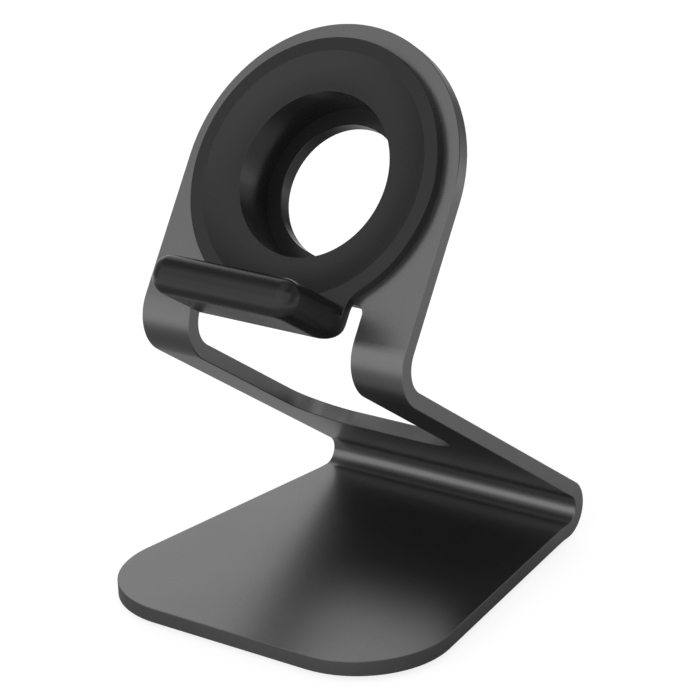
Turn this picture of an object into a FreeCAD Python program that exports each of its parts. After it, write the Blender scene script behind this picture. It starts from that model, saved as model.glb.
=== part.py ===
import FreeCAD
import Part
import Sketcher
import math
import os

# Watch charging stand: one folded aluminium sheet, one silicone holder, four rubber feet.
# X runs to the right, Y to the back and Z up. The stand faces -Y.
# The origin is under the middle of the stand, on the surface it rests on.

SIZES = {
    # Folded sheet
    "sheet_thickness": 2.7,
    "stand_depth": 71.0,
    "base_front_width": 69.4,
    "base_corner_radius": 16.4,
    "base_waist_radius": 25.0,
    "arm_width": 53.8,
    "arm_angle": 35.1,
    "arm_length": 59.7,
    "rear_bend_radius": 2.7,
    "front_bend_radius": 5.2,
    "head_lean": 33.6,
    "ring_height": 25.4,
    "edge_break": 0.12,
    # Opening for the cable, cut through the head, the front bend and the arm
    "opening_width": 33.4,
    "opening_top": 19.9,
    "opening_reach": 36.7,
    "opening_corner_radius": 9.0,
    "notch_corner_radius": 1.4,
    # Tab under the ring, bent forward out of the head
    "tab_width": 24.8,
    "tab_bend_radius": 2.5,
    "tab_reach": 15.45,
    # Silicone holder: ring, barrel and pocket for the charging puck
    "flange_width": 9.4,
    "rim_height": 1.85,
    "rim_width": 2.45,
    "rim_chamfer": 0.12,
    "dish_radius": 20.0,
    "mouth_height": 1.05,
    "pocket_radius": 14.5,
    "pocket_floor": 7.75,
    "lip_width": 2.8,
    "lip_thickness": 2.6,
    "lip_chamfer": 0.12,
    "barrel_wall": 2.4,
    "barrel_chamfer": 0.8,
    "snap_rim": 1.3,
    "snap_rim_width": 0.8,
    "snap_rim_taper": 1.3,
    "cable_slot_width": 4.6,
    "cable_slot_setback": 0.6,
    # Silicone holder: neck and ledge
    "neck_flare_radius": 5.0,
    "ledge_width": 28.8,
    "ledge_skin": 2.0,
    "ledge_end_radius": 2.9,
    "ledge_front_round": 2.8,
    "ledge_heel_radius": 4.0,
    # Fits
    "seat_clearance": 0.1,
    "tab_clearance": 0.1,
    # Rubber feet
    "foot_height": 1.0,
    "foot_radius": 4.0,
    "foot_chamfer": 0.3,
    "foot_inset": 6.5,
    # How far a cutting shape stands past the surface it cuts
    "cut_margin": 1.0,
}

# Places worked out from the sizes: bend centres, the base's waist, the ring's centre and levels
# of the tab and the ledge. The waist is where the base's straight sides run into the curves that
# bring them to the arm's width. Each side touches its curve there, so the sheet has no kink.
# The ring's face is flat round the pocket's mouth and curves up to the raised rim.
PLACES = {
    "front_bend_outside": "Sizes.front_bend_radius + Sizes.sheet_thickness",
    "rear_bend_outside": "Sizes.rear_bend_radius + Sizes.sheet_thickness",
    "rear_bend_y": "Sizes.stand_depth / 2 - rear_bend_outside",
    "rear_bend_z": "Sizes.foot_height + rear_bend_outside",
    "waist_out": "Sizes.base_waist_radius - (Sizes.base_front_width - Sizes.arm_width) / 2",
    "waist_back": "rear_bend_y + Sizes.stand_depth / 2",
    "waist_far": "sqrt(waist_out ^ 2 + waist_back ^ 2)",
    "side_angle": "atan(waist_back / waist_out) + asin(Sizes.base_waist_radius / waist_far)",
    "side_length": "sqrt(waist_far ^ 2 - Sizes.base_waist_radius ^ 2)",
    "waist_x": "Sizes.base_front_width / 2 + side_length * cos(side_angle)",
    "waist_y": "-Sizes.stand_depth / 2 + side_length * sin(side_angle)",
    "bends_apart": "rear_bend_outside + Sizes.front_bend_radius",
    "front_bend_y": "rear_bend_y + bends_apart * sin(Sizes.arm_angle)"
                    " - Sizes.arm_length * cos(Sizes.arm_angle)",
    "front_bend_z": "rear_bend_z + bends_apart * cos(Sizes.arm_angle)"
                    " + Sizes.arm_length * sin(Sizes.arm_angle)",
    "ring_y": "front_bend_y - front_bend_outside * cos(Sizes.head_lean)"
              " + Sizes.ring_height * sin(Sizes.head_lean)",
    "ring_z": "front_bend_z + front_bend_outside * sin(Sizes.head_lean)"
              " + Sizes.ring_height * cos(Sizes.head_lean)",
    "flange_radius": "Sizes.pocket_radius + Sizes.flange_width",
    "rim_inside": "flange_radius - Sizes.rim_width",
    "dish_rise": "Sizes.rim_height - Sizes.mouth_height",
    "dish_reach": "sqrt(2 * Sizes.dish_radius * dish_rise - dish_rise ^ 2)",
    "lip_radius": "Sizes.pocket_radius - Sizes.lip_width",
    "barrel_radius": "Sizes.pocket_radius + Sizes.barrel_wall",
    "seat_hole_radius": "barrel_radius + Sizes.seat_clearance",
    "barrel_back": "Sizes.pocket_floor + Sizes.lip_thickness",
    "tab_top": "Sizes.opening_top + Sizes.tab_bend_radius",
    "tab_underside": "tab_top + Sizes.sheet_thickness",
    "ledge_top": "tab_top - Sizes.ledge_skin",
    "ledge_underside": "tab_underside + Sizes.ledge_skin",
    "ledge_front": "Sizes.tab_reach + Sizes.ledge_skin",
}

doc = FreeCAD.newDocument("ChargingStand")


def fill_sheet(name, cells):
    sheet = doc.addObject("Spreadsheet::Sheet", name)
    for row, (alias, content) in enumerate(cells.items(), start=1):
        sheet.set(f"A{row}", alias)
        sheet.set(f"B{row}", content)
        sheet.setAlias(f"B{row}", alias)
    doc.recompute()


fill_sheet("Sizes", {alias: str(value) for alias, value in SIZES.items()})
fill_sheet("Places", {alias: "=" + formula for alias, formula in PLACES.items()})

# Helpers for bodies, sketches and features

ORIGIN = (-1, 1)
HORIZONTAL_AXIS = -1
VERTICAL_AXIS = -2
START, END, CENTRE = 1, 2, 3
LEFT, RIGHT = 1, -1
TINY = 1e-4
SHARP = 0.5


def new_body(label):
    body = doc.addObject("PartDesign::Body", label)
    body.Label = label
    return body


def value_of(sketch, formula):
    return float(sketch.evalExpression(formula))


def new_sketch(body, name, role, lift=None, turn=None, turn_axis=(1, 0, 0)):
    """A sketch on one of the body's origin planes, moved off it by lift and turned by turn."""
    sketch = body.newObject("Sketcher::SketchObject", name)
    support = next(plane for plane in body.Origin.OriginFeatures if plane.Role == role)
    sketch.AttachmentSupport = [(support, "")]
    sketch.MapMode = "FlatFace"
    if turn:
        rotation = FreeCAD.Rotation(FreeCAD.Vector(*turn_axis), value_of(sketch, turn))
        sketch.AttachmentOffset = FreeCAD.Placement(FreeCAD.Vector(), rotation)
        sketch.setExpression("AttachmentOffset.Rotation.Angle", turn)
    for axis, formula in (lift or {}).items():
        sketch.setExpression(f"AttachmentOffset.Base.{axis}", formula)
    return sketch


def dimension(sketch, kind, *where, value):
    """A dimension of the sketch, bound to a formula."""
    index = sketch.addConstraint(Sketcher.Constraint(kind, *where, value_of(sketch, value)))
    sketch.setExpression(f"Constraints[{index}]", value)


def fix(sketch, kind, *where):
    sketch.addConstraint(Sketcher.Constraint(kind, *where))


def add_line(sketch, start, end):
    ends = FreeCAD.Vector(*start, 0), FreeCAD.Vector(*end, 0)
    number = sketch.addGeometry(Part.LineSegment(*ends), False)
    return (number, START), (number, END)


def add_arc(sketch, start, end, radius, turn):
    """The lesser arc from start to end. It turns LEFT or RIGHT on the way."""
    along = [last - first for first, last in zip(start, end)]
    chord = math.hypot(*along)
    rise = turn * math.sqrt(max(radius ** 2 - chord ** 2 / 4, 0)) / chord
    centre = (start[0] + end[0]) / 2 - along[1] * rise, (start[1] + end[1]) / 2 + along[0] * rise
    first, last = (start, end) if turn == LEFT else (end, start)
    angles = [math.atan2(point[1] - centre[1], point[0] - centre[0]) for point in (first, last)]
    circle = Part.Circle(FreeCAD.Vector(*centre, 0), FreeCAD.Vector(0, 0, 1), radius)
    number = sketch.addGeometry(Part.ArcOfCircle(circle, *angles), False)
    ends = (number, START), (number, END)
    return ends if turn == LEFT else ends[::-1]


def place_point(sketch, point, kind, axis, formula):
    """Sets one of a point's distances from the sketch's origin. At 0 the point lies on the axis."""
    if formula == "0":
        fix(sketch, "PointOnObject", *point, axis)
    else:
        dimension(sketch, kind, *ORIGIN, *point, value=formula)


def draw_outline(sketch, corners, arcs=None):
    """A closed outline. A corner is a pair of formulas, for its x and its y in the sketch.

    arcs names the round sides by the corner that they start from, each with a formula for
    its radius and the way it turns. The other sides are straight.
    """
    arcs = arcs or {}
    points = [[value_of(sketch, formula) for formula in corner] for corner in corners]
    sides = []
    for number, (start, end) in enumerate(zip(points, points[1:] + points[:1])):
        if number in arcs:
            radius, turn = arcs[number]
            ends = add_arc(sketch, start, end, value_of(sketch, radius), turn)
            dimension(sketch, "Radius", ends[0][0], value=radius)
        else:
            ends = add_line(sketch, start, end)
        sides.append(ends)
    for side, before, corner in zip(sides, sides[-1:] + sides[:-1], corners):
        fix(sketch, "Coincident", *before[1], *side[0])
        place_point(sketch, side[0], "DistanceX", VERTICAL_AXIS, corner[0])
        place_point(sketch, side[0], "DistanceY", HORIZONTAL_AXIS, corner[1])


def draw_circle(sketch, radius):
    """A circle round the sketch's origin."""
    circle = Part.Circle(FreeCAD.Vector(), FreeCAD.Vector(0, 0, 1), value_of(sketch, radius))
    number = sketch.addGeometry(circle, False)
    fix(sketch, "Coincident", number, CENTRE, *ORIGIN)
    dimension(sketch, "Radius", number, value=radius)


def volume_of(body):
    return body.Tip.Shape.Volume if body.Tip else 0


def finish_feature(body, feature, before, grows):
    """Works the feature out, and stops if it failed or left the solid as it was."""
    doc.recompute()
    if "Invalid" in feature.State or "Error" in feature.State:
        raise RuntimeError(f"{body.Label}: {feature.Name} failed")
    change = feature.Shape.Volume - before
    if (change if grows else -change) < TINY:
        raise RuntimeError(f"{body.Label}: {feature.Name} changed nothing")


def extrude(body, kind, name, sketch, length, reverse=False, both_ways=False):
    """A Pad or a Pocket of the sketch."""
    before = volume_of(body)
    feature = body.newObject(f"PartDesign::{kind}", name)
    feature.Profile = sketch
    feature.Type = "Length"
    feature.SideType = "Symmetric" if both_ways else "One side"
    feature.Reversed = reverse
    feature.setExpression("Length", length)
    finish_feature(body, feature, before, grows=kind == "Pad")


def spin(body, kind, name, sketch):
    """A Revolution or a Groove of the sketch, a full turn round the sketch's upright axis."""
    before = volume_of(body)
    feature = body.newObject(f"PartDesign::{kind}", name)
    feature.Profile = sketch
    feature.ReferenceAxis = (sketch, ["V_Axis"])
    feature.Angle = 360
    finish_feature(body, feature, before, grows=kind == "Revolution")


def dress_edges(body, kind, name, size, grows, chosen):
    """A Fillet or a Chamfer on the edges that chosen picks. It grows the solid in inside corners."""
    base = body.Tip
    edges = [f"Edge{number}" for number, edge in enumerate(base.Shape.Edges, start=1) if chosen(edge)]
    feature = body.newObject(f"PartDesign::{kind}", name)
    feature.Base = (base, edges)
    feature.setExpression("Radius" if kind == "Fillet" else "Size", size)
    finish_feature(body, feature, base.Shape.Volume, grows)


def runs_along(edge, direction):
    """True for a straight edge along the direction."""
    if not isinstance(edge.Curve, Part.Line):
        return False
    return edge.Curve.Direction.cross(direction).Length < TINY


# The sheet's own directions, and the two slanted planes that its outlines are drawn on.
# On the head, a sketch has X to the right, Y up along the head and the ring's centre at its origin.
# On the arm, Y runs down the upper face from the front bend.

HEAD_LIFT = {"y": "Places.ring_z", "z": "-Places.ring_y"}
HEAD_TURN = "-Sizes.head_lean"
ARM_LIFT = {
    "y": "Places.front_bend_y - Sizes.front_bend_radius * sin(Sizes.arm_angle)",
    "z": "Places.front_bend_z - Sizes.front_bend_radius * cos(Sizes.arm_angle)",
}
ARM_TURN = "-Sizes.arm_angle"


def make_base_plate(body):
    """The flat base: widest at the front edge, as wide as the arm where the rear bend starts."""
    sketch = new_sketch(body, "BaseOutline", "XY_Plane", lift={"z": "Sizes.foot_height"})
    draw_outline(sketch, [
        ("-Sizes.base_front_width / 2", "-Sizes.stand_depth / 2"),
        ("Sizes.base_front_width / 2", "-Sizes.stand_depth / 2"),
        ("Places.waist_x", "Places.waist_y"),
        ("Sizes.arm_width / 2", "Places.rear_bend_y"),
        ("-Sizes.arm_width / 2", "Places.rear_bend_y"),
        ("-Places.waist_x", "Places.waist_y"),
    ], arcs={2: ("Sizes.base_waist_radius", RIGHT), 4: ("Sizes.base_waist_radius", RIGHT)})
    extrude(body, "Pad", "BasePlate", sketch, "Sizes.sheet_thickness")
    upright = FreeCAD.Vector(0, 0, 1)
    half_depth = value_of(sketch, "Sizes.stand_depth / 2")
    dress_edges(body, "Fillet", "BaseCorners", "Sizes.base_corner_radius", False,
                lambda edge: runs_along(edge, upright) and edge.CenterOfMass.y < TINY - half_depth)


def make_folds(body):
    """The rear bend, the sloping arm and the front bend, seen from the side."""
    sketch = new_sketch(body, "FoldProfile", "YZ_Plane")

    def beside_arm(bend, radius, side):
        across = f"Places.{bend}_bend_y {side} {radius} * sin(Sizes.arm_angle)"
        up = f"Places.{bend}_bend_z {side} {radius} * cos(Sizes.arm_angle)"
        return across, up

    def beside_head(radius):
        across = f"Places.front_bend_y - {radius} * cos(Sizes.head_lean)"
        up = f"Places.front_bend_z + {radius} * sin(Sizes.head_lean)"
        return across, up

    def under_rear_bend(radius):
        return "Places.rear_bend_y", f"Places.rear_bend_z - {radius}"

    rear_inside = "Sizes.rear_bend_radius"
    rear_outside = "Places.rear_bend_outside"
    front_inside = "Sizes.front_bend_radius"
    front_outside = "Places.front_bend_outside"
    draw_outline(sketch, [
        under_rear_bend(rear_outside),
        beside_arm("rear", rear_outside, "+"),
        beside_arm("front", front_inside, "-"),
        beside_head(front_inside),
        beside_head(front_outside),
        beside_arm("front", front_outside, "-"),
        beside_arm("rear", rear_inside, "+"),
        under_rear_bend(rear_inside),
    ], arcs={
        0: (rear_outside, LEFT),
        2: (front_inside, RIGHT),
        4: (front_outside, LEFT),
        6: (rear_inside, RIGHT),
    })
    extrude(body, "Pad", "Folds", sketch, "Sizes.arm_width", both_ways=True)


def make_head(body):
    """The leaning head: straight sides, a half-round top and the hole that the holder sits in."""
    sketch = new_sketch(body, "HeadOutline", "XZ_Plane", lift=HEAD_LIFT, turn=HEAD_TURN)
    half = "Sizes.arm_width / 2"
    draw_outline(sketch, [
        (f"-{half}", "-Sizes.ring_height"),
        (half, "-Sizes.ring_height"),
        (half, "0"),
        ("0", half),
        (f"-{half}", "0"),
    ], arcs={2: (half, LEFT), 3: (half, LEFT)})
    draw_circle(sketch, "Places.seat_hole_radius")
    extrude(body, "Pad", "Head", sketch, "Sizes.sheet_thickness", reverse=True)


def cut_opening(body):
    """The cable opening: from under the ring, round the front bend and down the arm."""
    half = "Sizes.opening_width / 2"
    margin = "Sizes.cut_margin"
    head_lift = dict(HEAD_LIFT)
    head_lift["y"] += f" + {margin} * sin(Sizes.head_lean)"
    head_lift["z"] += f" + {margin} * cos(Sizes.head_lean)"
    below = f"-(Sizes.ring_height + Places.front_bend_outside + {margin})"
    on_head = new_sketch(body, "OpeningOnHead", "XZ_Plane", lift=head_lift, turn=HEAD_TURN)
    draw_outline(on_head, [
        (f"-{half}", below),
        (half, below),
        (half, "-Sizes.opening_top"),
        (f"-{half}", "-Sizes.opening_top"),
    ])
    extrude(body, "Pocket", "OpeningInHead", on_head, f"Places.front_bend_outside + 2 * {margin}")

    arm_lift = dict(ARM_LIFT)
    arm_lift["y"] += f" + {margin} * sin(Sizes.arm_angle)"
    arm_lift["z"] += f" + {margin} * cos(Sizes.arm_angle)"
    on_arm = new_sketch(body, "OpeningOnArm", "XY_Plane", lift=arm_lift, turn=ARM_TURN)
    draw_outline(on_arm, [
        (f"-{half}", f"-2 * {margin}"),
        (half, f"-2 * {margin}"),
        (half, "Sizes.opening_reach"),
        (f"-{half}", "Sizes.opening_reach"),
    ])
    extrude(body, "Pocket", "OpeningInArm", on_arm, f"Sizes.sheet_thickness + 2 * {margin}")

    half_width = value_of(on_arm, half)
    head_normal = on_head.Placement.Rotation.multVec(FreeCAD.Vector(0, 0, 1))
    arm_normal = on_arm.Placement.Rotation.multVec(FreeCAD.Vector(0, 0, 1))

    def is_corner(edge, normal):
        return runs_along(edge, normal) and abs(abs(edge.CenterOfMass.x) - half_width) < TINY

    dress_edges(body, "Fillet", "ArmCorners", "Sizes.opening_corner_radius", True,
                lambda edge: is_corner(edge, arm_normal))
    dress_edges(body, "Fillet", "NotchCorners", "Sizes.notch_corner_radius", True,
                lambda edge: is_corner(edge, head_normal))


def break_sheet_edges(body):
    """The sheet's outer edges and the edges of its opening, all slightly broken."""
    solid = body.Tip.Shape
    hole_radius = float(body.evalExpression("Places.seat_hole_radius"))

    def is_sharp(edge):
        if isinstance(edge.Curve, Part.Circle) and abs(edge.Curve.Radius - hole_radius) < TINY:
            return False
        middle = edge.valueAt((edge.FirstParameter + edge.LastParameter) / 2)
        normals = []
        for face in solid.ancestorsOfType(edge, Part.Face):
            normals.append(face.normalAt(*face.Surface.parameter(middle)))
        return len(normals) == 2 and normals[0].cross(normals[1]).Length > SHARP

    dress_edges(body, "Chamfer", "SheetEdges", "Sizes.edge_break", False, is_sharp)


def make_tab(body):
    """The tab under the ring. It bends forward, square to the head, with a relief on each side.

    It starts just above the opening's broken edge, flush with both faces of the head.
    """
    sketch = new_sketch(
        body, "TabProfile", "YZ_Plane", lift={"x": "Places.ring_y", "y": "Places.ring_z"},
        turn="-Sizes.head_lean", turn_axis=(0, 0, 1))
    root = "-Sizes.opening_top + Sizes.edge_break"
    draw_outline(sketch, [
        ("0", root),
        ("0", "-Sizes.opening_top"),
        ("-Sizes.tab_bend_radius", "-Places.tab_top"),
        ("-Sizes.tab_reach", "-Places.tab_top"),
        ("-Sizes.tab_reach", "-Places.tab_underside"),
        ("-Sizes.tab_bend_radius", "-Places.tab_underside"),
        ("Sizes.sheet_thickness", "-Sizes.opening_top"),
        ("Sizes.sheet_thickness", root),
    ], arcs={
        1: ("Sizes.tab_bend_radius", RIGHT),
        5: ("Sizes.tab_bend_radius + Sizes.sheet_thickness", LEFT),
    })
    extrude(body, "Pad", "Tab", sketch, "Sizes.tab_width", both_ways=True)


def make_frame():
    body = new_body("stand_frame")
    make_base_plate(body)
    make_folds(body)
    make_head(body)
    cut_opening(body)
    break_sheet_edges(body)
    make_tab(body)
    return body


# The holder is drawn with the head's front face as its XY plane: X to the right, Y up along the
# head, Z out of the face, and the ring's centre at the origin.


def make_ring(body):
    """The ring's flange, flared into the neck above the ledge, its front edge slightly broken."""
    sketch = new_sketch(body, "FlangeOutline", "XY_Plane")
    half = "Sizes.ledge_width / 2"
    flare_x = f"({half} + Sizes.neck_flare_radius)"
    reach = "(Places.flange_radius + Sizes.neck_flare_radius)"
    flare_y = f"sqrt({reach} ^ 2 - {flare_x} ^ 2)"
    share = f"Places.flange_radius / {reach}"
    neck_end = "-(Places.ledge_top + Places.ledge_underside) / 2"
    draw_outline(sketch, [
        ("0", "Places.flange_radius"),
        (f"-{flare_x} * {share}", f"-{flare_y} * {share}"),
        (f"-{half}", f"-{flare_y}"),
        (f"-{half}", neck_end),
        (half, neck_end),
        (half, f"-{flare_y}"),
        (f"{flare_x} * {share}", f"-{flare_y} * {share}"),
    ], arcs={
        0: ("Places.flange_radius", LEFT),
        1: ("Sizes.neck_flare_radius", RIGHT),
        5: ("Sizes.neck_flare_radius", RIGHT),
        6: ("Places.flange_radius", LEFT),
    })
    extrude(body, "Pad", "Flange", sketch, "Sizes.rim_height")
    rim_height = value_of(sketch, "Sizes.rim_height")
    lowest = value_of(sketch, neck_end)

    def on_rim(edge):
        at_front = all(abs(corner.Z - rim_height) < TINY for corner in edge.Vertexes)
        return at_front and edge.CenterOfMass.y > lowest + TINY

    dress_edges(body, "Chamfer", "RimEdge", "Sizes.rim_chamfer", False, on_rim)


def make_barrel(body):
    """The barrel through the head's hole, with a snap rim behind the sheet."""
    sketch = new_sketch(body, "BarrelSection", "XZ_Plane")
    rim_radius = "Places.barrel_radius + Sizes.snap_rim"
    rim_front = "-(Sizes.sheet_thickness + Sizes.seat_clearance)"
    rim_back = f"{rim_front} - Sizes.snap_rim_width"
    draw_outline(sketch, [
        ("Places.lip_radius", "Sizes.mouth_height / 2"),
        ("Places.lip_radius", "-Places.barrel_back"),
        ("Places.barrel_radius - Sizes.barrel_chamfer", "-Places.barrel_back"),
        ("Places.barrel_radius", "-Places.barrel_back + Sizes.barrel_chamfer"),
        ("Places.barrel_radius", f"{rim_back} - Sizes.snap_rim_taper"),
        (rim_radius, rim_back),
        (rim_radius, rim_front),
        ("Places.barrel_radius", rim_front),
        ("Places.barrel_radius", "Sizes.mouth_height / 2"),
    ])
    spin(body, "Revolution", "Barrel", sketch)


def cut_pocket(body):
    """The dished face inside the rim, and the round pocket down to the back lip.

    The lip's front edge is chamfered.
    """
    sketch = new_sketch(body, "PocketSection", "XZ_Plane")
    floor = "-Sizes.pocket_floor"
    above = "Sizes.rim_height + Sizes.cut_margin"
    draw_outline(sketch, [
        ("0", f"{floor} - Sizes.lip_chamfer"),
        ("Places.lip_radius", f"{floor} - Sizes.lip_chamfer"),
        ("Places.lip_radius + Sizes.lip_chamfer", floor),
        ("Sizes.pocket_radius", floor),
        ("Sizes.pocket_radius", "Sizes.mouth_height"),
        ("Places.rim_inside - Places.dish_reach", "Sizes.mouth_height"),
        ("Places.rim_inside", "Sizes.rim_height"),
        ("Places.rim_inside", above),
        ("0", above),
    ], arcs={5: ("Sizes.dish_radius", LEFT)})
    spin(body, "Groove", "Pocket", sketch)


def make_ledge(body):
    """The ledge below the ring: a soft bar with rounded ends, moulded round the metal tab."""
    half = "Sizes.ledge_width / 2"
    inner = f"({half} - Sizes.ledge_end_radius)"
    low = "-Places.ledge_underside"
    high = "-Places.ledge_top"
    turn_radius = "Sizes.ledge_end_radius"
    sketch = new_sketch(body, "LedgeOutline", "XY_Plane")
    draw_outline(sketch, [
        (f"-{inner}", low),
        (inner, low),
        (half, f"{low} + {turn_radius}"),
        (half, f"{high} - {turn_radius}"),
        (inner, high),
        (f"-{inner}", high),
        (f"-{half}", f"{high} - {turn_radius}"),
        (f"-{half}", f"{low} + {turn_radius}"),
    ], arcs={corner: (turn_radius, LEFT) for corner in (1, 3, 5, 7)})
    extrude(body, "Pad", "Ledge", sketch, "Places.ledge_front")
    front = value_of(sketch, "Places.ledge_front")
    dress_edges(body, "Fillet", "LedgeFrontRound", "Sizes.ledge_front_round", False,
                lambda edge: all(abs(corner.Z - front) < TINY for corner in edge.Vertexes))

    heel = new_sketch(body, "HeelProfile", "YZ_Plane")
    under = f"{low} - Sizes.cut_margin"
    draw_outline(heel, [
        (under, "-Sizes.cut_margin"),
        (f"{low} + Sizes.ledge_heel_radius", "-Sizes.cut_margin"),
        (f"{low} + Sizes.ledge_heel_radius", "0"),
        (low, "Sizes.ledge_heel_radius"),
        (under, "Sizes.ledge_heel_radius"),
    ], arcs={2: ("Sizes.ledge_heel_radius", RIGHT)})
    extrude(body, "Pocket", "Heel", heel, "Sizes.ledge_width + 2 * Sizes.cut_margin", both_ways=True)


def cut_tab_slot(body):
    """The slot in the ledge that the bent tab fills, open at the back under the bend."""
    sketch = new_sketch(body, "TabSlotProfile", "YZ_Plane")
    gap = "Sizes.tab_clearance"
    top = f"-Places.tab_top + {gap}"
    underside = f"-Places.tab_underside - {gap}"
    below = "-Places.ledge_underside - Sizes.cut_margin"
    draw_outline(sketch, [
        ("-Sizes.opening_top", "-Sizes.cut_margin"),
        ("-Sizes.opening_top", gap),
        (top, "Sizes.tab_bend_radius"),
        (top, f"Sizes.tab_reach + {gap}"),
        (underside, f"Sizes.tab_reach + {gap}"),
        (underside, "Sizes.tab_bend_radius"),
        (below, "Sizes.tab_bend_radius"),
        (below, "-Sizes.cut_margin"),
    ], arcs={1: (f"Sizes.tab_bend_radius - {gap}", RIGHT)})
    extrude(body, "Pocket", "TabSlot", sketch, f"Sizes.tab_width + 2 * {gap}", both_ways=True)


def cut_cable_slot(body):
    """The slot at the bottom of the barrel, behind the sheet, where the puck's cable leaves."""
    sketch = new_sketch(body, "CableSlotOutline", "XZ_Plane")
    half = "Sizes.cable_slot_width / 2"
    round_start = f"-(Sizes.sheet_thickness + Sizes.cable_slot_setback + {half})"
    behind = "-(Places.barrel_back + Sizes.cut_margin)"
    draw_outline(sketch, [
        (f"-{half}", behind),
        (half, behind),
        (half, round_start),
        ("0", f"{round_start} + {half}"),
        (f"-{half}", round_start),
    ], arcs={2: (half, LEFT), 3: (half, LEFT)})
    length = "Places.barrel_radius + Sizes.snap_rim + Sizes.cut_margin"
    extrude(body, "Pocket", "CableSlot", sketch, length, reverse=True)


def make_holder():
    body = new_body("charger_holder")
    make_ring(body)
    make_barrel(body)
    cut_pocket(body)
    make_ledge(body)
    cut_tab_slot(body)
    cut_cable_slot(body)
    tilt = FreeCAD.Rotation(FreeCAD.Vector(1, 0, 0), body.evalExpression("90 - Sizes.head_lean"))
    body.Placement = FreeCAD.Placement(FreeCAD.Vector(), tilt)
    body.setExpression("Placement.Rotation.Angle", "90 - Sizes.head_lean")
    body.setExpression("Placement.Base.y", "Places.ring_y")
    body.setExpression("Placement.Base.z", "Places.ring_z")
    return body


def make_foot(label, across, along):
    """A round rubber pad under the base plate, its lower edge chamfered."""
    body = new_body(label)
    sketch = new_sketch(body, f"{label}_outline", "XY_Plane")
    draw_circle(sketch, "Sizes.foot_radius")
    extrude(body, "Pad", f"{label}_pad", sketch, "Sizes.foot_height")
    dress_edges(body, "Chamfer", f"{label}_chamfer", "Sizes.foot_chamfer", False,
                lambda edge: isinstance(edge.Curve, Part.Circle) and edge.CenterOfMass.z < TINY)
    body.setExpression("Placement.Base.x", across)
    body.setExpression("Placement.Base.y", along)
    return body


def make_feet():
    """Four feet, inset from the edges of the base. The rear pair stays clear of the bend."""
    inset = "(Sizes.foot_inset + Sizes.foot_radius)"
    ends = {
        "front": ("(Sizes.base_front_width / 2 - Sizes.base_corner_radius)",
                  f"-Sizes.stand_depth / 2 + {inset}"),
        "rear": (f"(Sizes.arm_width / 2 - {inset})",
                 f"Places.rear_bend_y - {inset}"),
    }
    feet = []
    for end, (across, along) in ends.items():
        feet.append(make_foot(f"foot_{end}_left", f"-{across}", along))
        feet.append(make_foot(f"foot_{end}_right", across, along))
    return feet


parts = [make_frame(), make_holder(), *make_feet()]
doc.recompute()

for item in doc.Objects:
    if "Invalid" in item.State or "Error" in item.State:
        raise RuntimeError(f"{item.Label} did not work out")
for part in parts:
    if part.Shape.isNull() or not part.Shape.isValid() or len(part.Shape.Solids) != 1:
        raise RuntimeError(f"{part.Label} is not one sound solid")

os.makedirs("parts", exist_ok=True)
for part in parts:
    part.Shape.exportStep(f"parts/{part.Label}.step")
    box = part.Shape.optimalBoundingBox(False)
    extent = " x ".join(f"{length:.2f}" for length in (box.XLength, box.YLength, box.ZLength))
    print(f"{part.Label}: {part.Shape.Volume:.1f} mm3, box {extent} mm")
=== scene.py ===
import math

import bpy
from mathutils import Matrix, Vector

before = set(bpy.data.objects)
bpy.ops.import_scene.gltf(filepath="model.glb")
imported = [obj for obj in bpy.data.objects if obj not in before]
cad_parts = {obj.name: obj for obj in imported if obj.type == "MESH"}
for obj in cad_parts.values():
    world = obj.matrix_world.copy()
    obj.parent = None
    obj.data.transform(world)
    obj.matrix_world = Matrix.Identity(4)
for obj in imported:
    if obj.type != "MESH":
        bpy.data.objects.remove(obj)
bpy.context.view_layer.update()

MILLIMETRE = 0.001
WHITE = (1.0, 1.0, 1.0, 1.0)

# A noise value lies mostly between these two.
NOISE_LOW, NOISE_HIGH = 0.3, 0.7

# The floor: its side, its grey under light, and the white added where it is seen.
FLOOR_SIZE = 20.0
FLOOR_GREY = 0.42
FLOOR_WHITE = 0.82

# How the floor glows in reflections: painted light and painted shade that only reflected
# rays see, dim next to the stand as if in its shade and brighter further off. First, glow
# that grows with the distance from a point: the point, the distances where the growth
# starts and ends, and the gain.
PAINTED_FLOOR_GLOWS = (
    ((-0.058, -0.035, 0.0), 0.01, 0.11, 0.30),
    ((0.0, 0.0, 0.0), 0.13, 0.24, 0.50),
)
# A painted shadow in the floor's reflections: a patch at the right of the stand that
# doesn't glow, and the distances from its middle where the glow starts to come back and
# is whole.
PAINTED_SHADOW_PATCH = (0.038, -0.005, 0.0)
PATCH_INNER, PATCH_OUTER = 0.015, 0.075
# The share of the painted glow behind the stand, which is whole at first; its changes
# paint shade and light into the floor's reflections: the distances behind the stand's
# middle where a change starts and ends, and the change.
PAINTED_GLOW_CHANGES_BEHIND = (
    (0.05, 0.18, -0.50),
    (0.20, 0.30, 0.40),
    (0.40, 0.90, -0.65),
)

# The studio's even light: its strength low down and high up, and the heights, as the
# sine of the elevation, where the fade from one to the other starts and ends.
STUDIO_LOW, STUDIO_HIGH = 0.36, 0.16
FADE_START, FADE_END = 0.50, 0.85
# Soft lights, and one dark screen with a negative gain: the direction, the cosine of the
# angle from it to the edge and to the even middle, and the gain.
STUDIO_LIGHTS = (
    ((-0.53, 0.77, 0.36), 0.76, 0.955, 0.56),  # at the back left
    ((0.0, -0.951, 0.309), 0.45, 0.95, 0.83),  # in front
    ((0.83, -0.39, 0.40), 0.93, 0.985, 0.55),  # at the right
    ((0.0, 0.0, 1.0), 0.86, 0.98, 0.35),  # straight above
    ((0.05, 0.99, 0.08), 0.93, 0.99, -0.30),  # the dark screen, low behind
)

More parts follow.
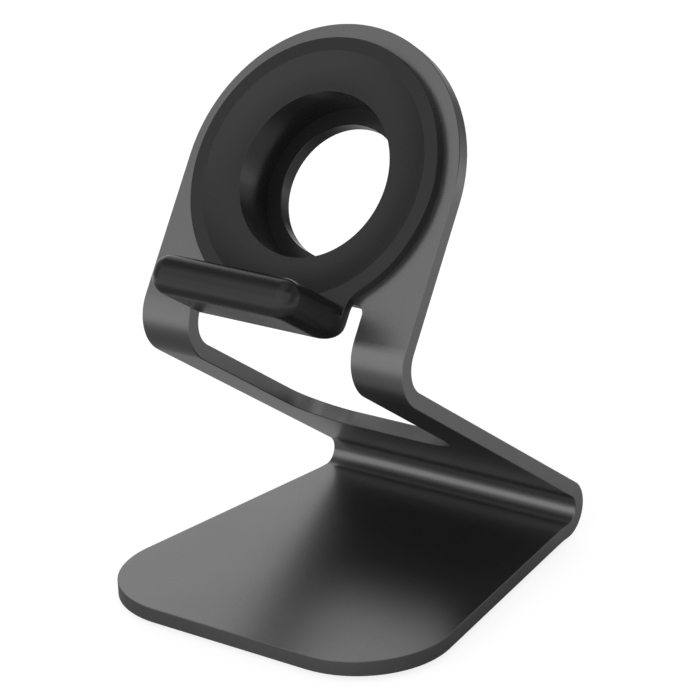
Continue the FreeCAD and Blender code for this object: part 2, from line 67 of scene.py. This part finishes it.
# The photograph's viewpoint, fitted to its outlines: turned to the right of the front, a
# little above, slightly rolled. The eye is this far from the middle, and then moved
# along the picture's width and height.
CAMERA_MIDDLE = Vector((0, 1.925, 1.0)) * MILLIMETRE
CAMERA_AZIMUTH = math.radians(36.1834)
CAMERA_ELEVATION = math.radians(20.9877)
CAMERA_ROLL = math.radians(-2.1566)
CAMERA_DISTANCE = 470.7308 * MILLIMETRE
CAMERA_ASIDE = -1.1403 * MILLIMETRE
CAMERA_RAISED = 37.8677 * MILLIMETRE
FOCAL_PIXELS, PICTURE_PIXELS = 2643.2329, 700
SENSOR_WIDTH = 36.0
CLIP_NEAR, CLIP_FAR = 0.01, 20.0


class Nodes:
    """A short way to write a node tree."""

    def __init__(self, tree):
        self.tree = tree
        self.tree.nodes.clear()

    def add(self, kind, inputs=None, **settings):
        node = self.tree.nodes.new(kind)
        for name, value in settings.items():
            setattr(node, name, value)
        for name, value in (inputs or {}).items():
            self.set(node.inputs[name], value)
        return node

    def set(self, socket, value):
        if isinstance(value, bpy.types.NodeSocket):
            self.tree.links.new(value, socket)
        else:
            socket.default_value = value

    def noise(self, place, scale, detail):
        return self.add("ShaderNodeTexNoise", {
            "Vector": place, "Scale": scale, "Detail": detail,
        }).outputs["Fac"]

    def span(self, noise, low, high):
        """Carries a noise value to the range from low to high."""
        return self.add("ShaderNodeMapRange", {
            "Value": noise, "From Min": NOISE_LOW, "From Max": NOISE_HIGH,
            "To Min": low, "To Max": high,
        }).outputs["Result"]

    def rise(self, value, start, end, low, high):
        """Goes smoothly from low to high while the value goes from start to end."""
        return self.add("ShaderNodeMapRange", {
            "Value": value, "From Min": start, "From Max": end,
            "To Min": low, "To Max": high,
        }, interpolation_type="SMOOTHSTEP").outputs["Result"]

    def maths(self, operation, first, second):
        node = self.add("ShaderNodeMath", {0: first, 1: second}, operation=operation)
        return node.outputs["Value"]

    def vector(self, operation, first, second):
        node = self.add("ShaderNodeVectorMath", {0: first, 1: second}, operation=operation)
        return node.outputs["Value"]

    def blend(self, factor, first, second):
        mix = self.add("ShaderNodeMix", data_type="RGBA")
        self.set(mix.inputs[0], factor)
        self.set(mix.inputs[6], first)
        self.set(mix.inputs[7], second)
        return mix.outputs[2]

    def bump(self, height, strength, depth):
        return self.add("ShaderNodeBump", {
            "Height": height, "Strength": strength, "Distance": depth,
        }).outputs["Normal"]

    def seen(self, rays):
        """Is 1 where the camera looks, also through something clear, and 0 elsewhere."""
        return self.maths("MAXIMUM", rays["Is Camera Ray"], rays["Is Transmission Ray"])


def new_material(name):
    material = bpy.data.materials.new(name)
    material.use_nodes = True
    return material, Nodes(material.node_tree)


def grey(level):
    return (level, level, level, 1.0)


def procedural(name, cloud, grain, greys, roughness, bump, even):
    """A material whose grey drifts in clouds, with a fine grain.

    cloud and grain are noises, each a scale and a detail. The grey goes with the cloud,
    and the roughness and the bump, a strength and a depth, go with the grain. even holds
    the inputs that are the same all over.
    """
    material, nodes = new_material(name)
    place = nodes.add("ShaderNodeTexCoord").outputs["Object"]
    drift = nodes.span(nodes.noise(place, *cloud), 0.0, 1.0)
    fine = nodes.noise(place, *grain)
    darker, lighter = greys
    shader = nodes.add("ShaderNodeBsdfPrincipled", {
        "Base Color": nodes.blend(drift, grey(darker), grey(lighter)),
        "Roughness": nodes.span(fine, *roughness),
        "Normal": nodes.bump(fine, *bump),
        **even,
    })
    nodes.add("ShaderNodeOutputMaterial", {"Surface": shader.outputs["BSDF"]})
    return material


def dress(node, material):
    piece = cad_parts[node]
    piece.data.materials.clear()
    piece.data.materials.append(material)


def dress_pieces():
    # Dark grey anodised sheet with a fine bead-blasted grain.
    dress("stand_frame", procedural(
        "anodised_aluminium",
        cloud=(60.0, 3.0),
        grain=(5200.0, 2.0),
        greys=(0.19, 0.205),
        roughness=(0.27, 0.35),
        bump=(0.06, 0.02 * MILLIMETRE),
        even={"Metallic": 0.92},
    ))
    # Black moulded silicone with a soft sheen and a very fine skin.
    dress("charger_holder", procedural(
        "silicone",
        cloud=(90.0, 3.0),
        grain=(3400.0, 3.0),
        greys=(0.015, 0.018),
        roughness=(0.20, 0.28),
        bump=(0.05, 0.02 * MILLIMETRE),
        even={"IOR": 1.455},
    ))
    # Black rubber of the feet, rougher than the silicone.
    rubber = procedural(
        "foot_rubber",
        cloud=(2200.0, 4.0),
        grain=(2200.0, 4.0),
        greys=(0.018, 0.028),
        roughness=(0.68, 0.85),
        bump=(0.25, 0.03 * MILLIMETRE),
        even={},
    )
    for corner in ("front_left", "front_right", "rear_left", "rear_right"):
        dress("foot_" + corner, rubber)


def painted_floor_reflection(nodes, place):
    """The floor's painted glow as reflections show it: painted shade beside the stand, a
    painted shadow at its right, and brighter further off.
    """
    glow = 0.0
    # Painted shade near the stand, painted light further off.
    for centre, near, far, gain in PAINTED_FLOOR_GLOWS:
        distance = nodes.vector("DISTANCE", place, centre)
        glow = nodes.maths("ADD", glow, nodes.rise(distance, near, far, 0.0, gain))
    # Painted shade and painted light behind the stand, in the reflected glow.
    behind = nodes.add("ShaderNodeSeparateXYZ", {0: place}).outputs["Y"]
    share = 1.0
    for start, end, change in PAINTED_GLOW_CHANGES_BEHIND:
        share = nodes.maths("ADD", share, nodes.rise(behind, start, end, 0.0, change))
    # Painted shadow: the glow is taken away in a patch at the stand's right.
    aside = nodes.vector("DISTANCE", place, PAINTED_SHADOW_PATCH)
    beside = nodes.rise(aside, PATCH_INNER, PATCH_OUTER, 0.0, 1.0)
    return nodes.maths("MULTIPLY", nodes.maths("MULTIPLY", glow, share), beside)


def make_floor():
    """A pale floor that takes the stand's shadow and looks white, with a painted glow that
    only reflections show.
    """
    bpy.ops.mesh.primitive_plane_add(size=FLOOR_SIZE, location=(0, 0, 0))
    floor = bpy.context.object
    floor.name = "floor"
    material, nodes = new_material("floor")
    rays = nodes.add("ShaderNodeLightPath").outputs
    place = nodes.add("ShaderNodeTexCoord").outputs["Object"]
    looked_at = nodes.maths("MULTIPLY", nodes.seen(rays), FLOOR_WHITE)
    # Painted light and shade: a glow only reflections see, dim near the stand.
    painted_reflection_glow = nodes.maths("MULTIPLY", rays["Is Glossy Ray"], painted_floor_reflection(nodes, place))
    matte = nodes.add("ShaderNodeBsdfDiffuse", {"Color": grey(FLOOR_GREY)})
    white = nodes.add("ShaderNodeEmission", {
        "Color": WHITE, "Strength": nodes.maths("MAXIMUM", looked_at, painted_reflection_glow),
    })
    both = nodes.add("ShaderNodeAddShader", {0: matte.outputs[0], 1: white.outputs[0]})
    nodes.add("ShaderNodeOutputMaterial", {"Surface": both.outputs[0]})
    floor.data.materials.append(material)


def make_world():
    """A soft studio. Where the camera sees past the floor, it is white."""
    world = bpy.data.worlds.new("studio")
    bpy.context.scene.world = world
    world.use_nodes = True
    nodes = Nodes(world.node_tree)
    way = nodes.add("ShaderNodeTexCoord").outputs["Generated"]
    height = nodes.add("ShaderNodeSeparateXYZ", {0: way}).outputs["Z"]
    glow = nodes.rise(height, FADE_START, FADE_END, STUDIO_LOW, STUDIO_HIGH)
    for centre, edge, core, gain in STUDIO_LIGHTS:
        facing = nodes.vector("DOT_PRODUCT", way, centre)
        glow = nodes.maths("ADD", glow, nodes.rise(facing, edge, core, 0.0, gain))
    seen = nodes.seen(nodes.add("ShaderNodeLightPath").outputs)
    light = nodes.add("ShaderNodeBackground", {
        "Color": WHITE, "Strength": nodes.maths("MAXIMUM", glow, seen),
    })
    nodes.add("ShaderNodeOutputWorld", {"Surface": light.outputs[0]})


def make_camera():
    """The photograph's camera."""
    back = Vector((
        math.sin(CAMERA_AZIMUTH) * math.cos(CAMERA_ELEVATION),
        -math.cos(CAMERA_AZIMUTH) * math.cos(CAMERA_ELEVATION),
        math.sin(CAMERA_ELEVATION),
    ))
    right = Vector((math.cos(CAMERA_AZIMUTH), math.sin(CAMERA_AZIMUTH), 0))
    up = back.cross(right)
    across = right * math.cos(CAMERA_ROLL) + up * math.sin(CAMERA_ROLL)
    upward = up * math.cos(CAMERA_ROLL) - right * math.sin(CAMERA_ROLL)
    eye = CAMERA_MIDDLE + back * CAMERA_DISTANCE
    eye = eye + across * CAMERA_ASIDE + upward * CAMERA_RAISED
    data = bpy.data.cameras.new("camera")
    data.sensor_width = SENSOR_WIDTH
    data.lens = FOCAL_PIXELS / PICTURE_PIXELS * SENSOR_WIDTH
    data.clip_start = CLIP_NEAR
    data.clip_end = CLIP_FAR
    camera = bpy.data.objects.new("camera", data)
    bpy.context.scene.collection.objects.link(camera)
    turn = Matrix((across, upward, back)).transposed().to_4x4()
    camera.matrix_world = Matrix.Translation(eye) @ turn
    bpy.context.scene.camera = camera


dress_pieces()
make_floor()
make_world()
make_camera()
bpy.context.scene.view_settings.view_transform = "Standard"
